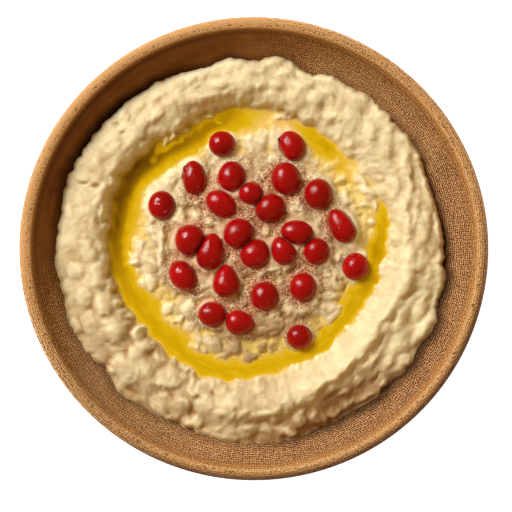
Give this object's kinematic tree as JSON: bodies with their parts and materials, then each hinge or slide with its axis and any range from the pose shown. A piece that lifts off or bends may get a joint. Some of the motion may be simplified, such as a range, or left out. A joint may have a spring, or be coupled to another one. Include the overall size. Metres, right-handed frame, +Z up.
{
  "type": "bowl of baba ganoush",
  "caption": "Round turned wooden bowl of baba ganoush, spread as a raised ring round a low mound, with olive oil in the channel and pomegranate seeds pressed into the mound.",
  "frame": {"origin": "on the table, under the middle of the bowl", "axes": "+Z up, +X along the bowl's slightly longer width, +Y towards the far side of the bowl as it is shown"},
  "size_m": [0.17, 0.168, 0.048],
  "materials": {
    "wood": "oiled satin",
    "dip": "moist cream",
    "oil": "glossy liquid",
    "seed": "wet gloss"
  },
  "bodies": {
    "root": {"bowl": "wood", "baba_ganoush": "dip", "oil_main": "oil", "oil_small": "oil", "seed_01": "seed", "seed_02": "seed", "seed_03": "seed", "seed_04": "seed", "seed_05": "seed", "seed_06": "seed", "seed_07": "seed", "seed_08": "seed", "seed_09": "seed", "seed_10": "seed", "seed_11": "seed", "seed_12": "seed", "seed_13": "seed", "seed_14": "seed", "seed_15": "seed", "seed_16": "seed", "seed_17": "seed", "seed_18": "seed", "seed_19": "seed", "seed_20": "seed", "seed_21": "seed", "seed_22": "seed", "seed_23": "seed", "seed_24": "seed", "seed_25": "seed", "seed_26": "seed"}
  },
  "joints": []
}
